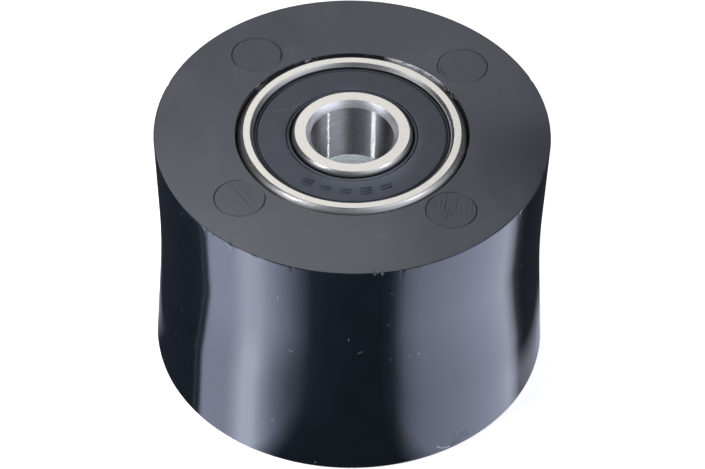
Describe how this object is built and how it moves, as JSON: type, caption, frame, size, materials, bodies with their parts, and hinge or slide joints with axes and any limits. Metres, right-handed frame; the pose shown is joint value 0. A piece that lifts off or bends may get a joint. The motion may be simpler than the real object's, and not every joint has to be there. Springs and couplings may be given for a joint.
{
  "type": "guide roller",
  "caption": "Waisted moulded guide roller with a sealed ball bearing pressed into each end and a spacer sleeve between their inner rings.",
  "frame": {"origin": "centre of the bore, midway between the outer faces of the two bearings", "axes": "+Z along the bore, out of the end face that carries the ejector pin marks; +X is a free choice, 41.8 degrees clockwise of the first mark seen from +Z"},
  "size_m": [0.038, 0.038, 0.027],
  "materials": {
    "roller_plastic": "black moulded plastic, glossy running surface, satin end faces",
    "ring_steel": "ground and honed bearing steel",
    "ball_steel": "polished bearing steel",
    "seal_rubber": "moulded nitrile rubber, satin",
    "washer_steel": "pressed sheet steel",
    "cage_steel": "pressed sheet steel, slightly dull",
    "rivet_steel": "drawn steel wire",
    "sleeve_steel": "zinc-plated steel tube, turned ends"
  },
  "bodies": {
    "hub": {"upper_inner_ring": "ring_steel", "lower_inner_ring": "ring_steel", "spacer_sleeve": "sleeve_steel"},
    "roller": {"roller_body": "roller_plastic", "upper_outer_ring": "ring_steel", "upper_outboard_seal": "seal_rubber", "upper_inboard_seal": "seal_rubber", "upper_outboard_seal_washer": "washer_steel", "upper_inboard_seal_washer": "washer_steel", "lower_outer_ring": "ring_steel", "lower_outboard_seal": "seal_rubber", "lower_inboard_seal": "seal_rubber", "lower_outboard_seal_washer": "washer_steel", "lower_inboard_seal_washer": "washer_steel"},
    "upper_cage": {"upper_cage_outboard_half": "cage_steel", "upper_cage_inboard_half": "cage_steel", "upper_cage_rivets": "rivet_steel"},
    "upper_ball_1": {"upper_ball_1": "ball_steel"},
    "upper_ball_2": {"upper_ball_2": "ball_steel"},
    "upper_ball_3": {"upper_ball_3": "ball_steel"},
    "upper_ball_4": {"upper_ball_4": "ball_steel"},
    "upper_ball_5": {"upper_ball_5": "ball_steel"},
    "upper_ball_6": {"upper_ball_6": "ball_steel"},
    "upper_ball_7": {"upper_ball_7": "ball_steel"},
    "lower_cage": {"lower_cage_outboard_half": "cage_steel", "lower_cage_inboard_half": "cage_steel", "lower_cage_rivets": "rivet_steel"},
    "lower_ball_1": {"lower_ball_1": "ball_steel"},
    "lower_ball_2": {"lower_ball_2": "ball_steel"},
    "lower_ball_3": {"lower_ball_3": "ball_steel"},
    "lower_ball_4": {"lower_ball_4": "ball_steel"},
    "lower_ball_5": {"lower_ball_5": "ball_steel"},
    "lower_ball_6": {"lower_ball_6": "ball_steel"},
    "lower_ball_7": {"lower_ball_7": "ball_steel"}
  },
  "joints": [
    {"name": "roller_spin", "type": "hinge", "parent": "hub", "child": "roller", "pos_m": [0, 0, 0], "axis": [0, 0, 1], "continuous": true},
    {"name": "upper_cage_spin", "type": "hinge", "parent": "hub", "child": "upper_cage", "pos_m": [0, 0, 0.01], "axis": [0, 0, 1], "continuous": true},
    {"name": "upper_ball_1_spin", "type": "hinge", "parent": "upper_cage", "child": "upper_ball_1", "pos_m": [0.0075, 0, 0.01], "axis": [0, 0, 1], "continuous": true},
    {"name": "upper_ball_2_spin", "type": "hinge", "parent": "upper_cage", "child": "upper_ball_2", "pos_m": [0.00468, 0.00586, 0.01], "axis": [0, 0, 1], "continuous": true},
    {"name": "upper_ball_3_spin", "type": "hinge", "parent": "upper_cage", "child": "upper_ball_3", "pos_m": [-0.00167, 0.00731, 0.01], "axis": [0, 0, 1], "continuous": true},
    {"name": "upper_ball_4_spin", "type": "hinge", "parent": "upper_cage", "child": "upper_ball_4", "pos_m": [-0.00676, 0.00325, 0.01], "axis": [0, 0, 1], "continuous": true},
    {"name": "upper_ball_5_spin", "type": "hinge", "parent": "upper_cage", "child": "upper_ball_5", "pos_m": [-0.00676, -0.00325, 0.01], "axis": [0, 0, 1], "continuous": true},
    {"name": "upper_ball_6_spin", "type": "hinge", "parent": "upper_cage", "child": "upper_ball_6", "pos_m": [-0.00167, -0.00731, 0.01], "axis": [0, 0, 1], "continuous": true},
    {"name": "upper_ball_7_spin", "type": "hinge", "parent": "upper_cage", "child": "upper_ball_7", "pos_m": [0.00468, -0.00586, 0.01], "axis": [0, 0, 1], "continuous": true},
    {"name": "lower_cage_spin", "type": "hinge", "parent": "hub", "child": "lower_cage", "pos_m": [0, 0, -0.01], "axis": [0, 0, 1], "continuous": true},
    {"name": "lower_ball_1_spin", "type": "hinge", "parent": "lower_cage", "child": "lower_ball_1", "pos_m": [0.0075, 0, -0.01], "axis": [0, 0, 1], "continuous": true},
    {"name": "lower_ball_2_spin", "type": "hinge", "parent": "lower_cage", "child": "lower_ball_2", "pos_m": [0.00468, -0.00586, -0.01], "axis": [0, 0, 1], "continuous": true},
    {"name": "lower_ball_3_spin", "type": "hinge", "parent": "lower_cage", "child": "lower_ball_3", "pos_m": [-0.00167, -0.00731, -0.01], "axis": [0, 0, 1], "continuous": true},
    {"name": "lower_ball_4_spin", "type": "hinge", "parent": "lower_cage", "child": "lower_ball_4", "pos_m": [-0.00676, -0.00325, -0.01], "axis": [0, 0, 1], "continuous": true},
    {"name": "lower_ball_5_spin", "type": "hinge", "parent": "lower_cage", "child": "lower_ball_5", "pos_m": [-0.00676, 0.00325, -0.01], "axis": [0, 0, 1], "continuous": true},
    {"name": "lower_ball_6_spin", "type": "hinge", "parent": "lower_cage", "child": "lower_ball_6", "pos_m": [-0.00167, 0.00731, -0.01], "axis": [0, 0, 1], "continuous": true},
    {"name": "lower_ball_7_spin", "type": "hinge", "parent": "lower_cage", "child": "lower_ball_7", "pos_m": [0.00468, 0.00586, -0.01], "axis": [0, 0, 1], "continuous": true}
  ],
  "couplings": [
    {"joint": "upper_cage_spin", "follows": "roller_spin", "ratio": 0.6323},
    {"joint": "upper_ball_1_spin", "follows": "roller_spin", "ratio": 1.7573},
    {"joint": "upper_ball_2_spin", "follows": "roller_spin", "ratio": 1.7573},
    {"joint": "upper_ball_3_spin", "follows": "roller_spin", "ratio": 1.7573},
    {"joint": "upper_ball_4_spin", "follows": "roller_spin", "ratio": 1.7573},
    {"joint": "upper_ball_5_spin", "follows": "roller_spin", "ratio": 1.7573},
    {"joint": "upper_ball_6_spin", "follows": "roller_spin", "ratio": 1.7573},
    {"joint": "upper_ball_7_spin", "follows": "roller_spin", "ratio": 1.7573},
    {"joint": "lower_cage_spin", "follows": "roller_spin", "ratio": 0.6323},
    {"joint": "lower_ball_1_spin", "follows": "roller_spin", "ratio": 1.7573},
    {"joint": "lower_ball_2_spin", "follows": "roller_spin", "ratio": 1.7573},
    {"joint": "lower_ball_3_spin", "follows": "roller_spin", "ratio": 1.7573},
    {"joint": "lower_ball_4_spin", "follows": "roller_spin", "ratio": 1.7573},
    {"joint": "lower_ball_5_spin", "follows": "roller_spin", "ratio": 1.7573},
    {"joint": "lower_ball_6_spin", "follows": "roller_spin", "ratio": 1.7573},
    {"joint": "lower_ball_7_spin", "follows": "roller_spin", "ratio": 1.7573}
  ]
}
